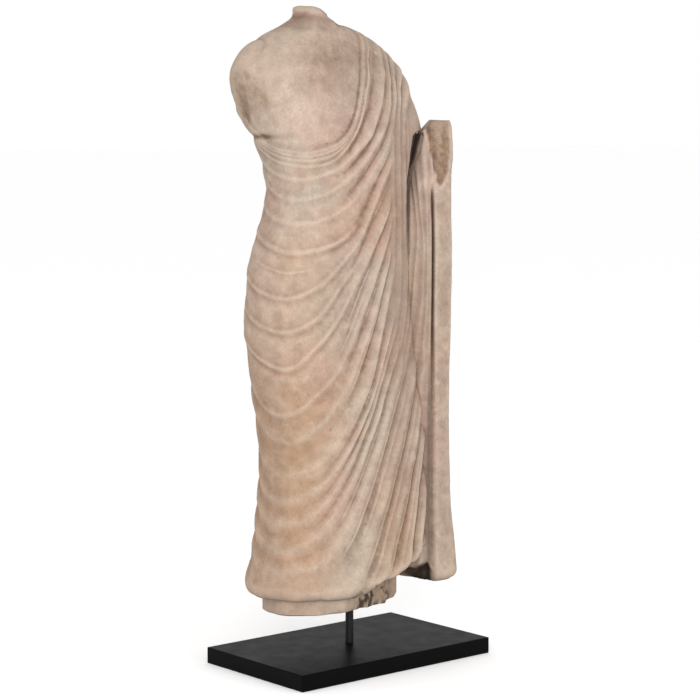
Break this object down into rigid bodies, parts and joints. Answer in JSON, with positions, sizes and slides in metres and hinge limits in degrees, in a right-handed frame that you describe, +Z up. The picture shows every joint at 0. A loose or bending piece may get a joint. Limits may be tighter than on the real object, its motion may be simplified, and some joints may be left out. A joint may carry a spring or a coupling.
{
  "type": "headless robed figure on plinth",
  "caption": "Headless standing figure in a one-shouldered robe with looped folds, held above a flat black plinth by a thin rod.",
  "frame": {"origin": "middle of the plinth's underside, on the rod's axis", "axes": "+Z up, +X the figure's own left and along the plinth's length, -Y the figure's front"},
  "size_m": [0.3, 0.186, 0.8],
  "materials": {
    "carved_stone": "matte, weathered beige and pink",
    "blackened_steel": "satin black",
    "black_lacquer": "satin black paint"
  },
  "bodies": {
    "root": {"draped_figure": "carved_stone", "mounting_rod": "blackened_steel", "plinth": "black_lacquer"}
  },
  "joints": []
}
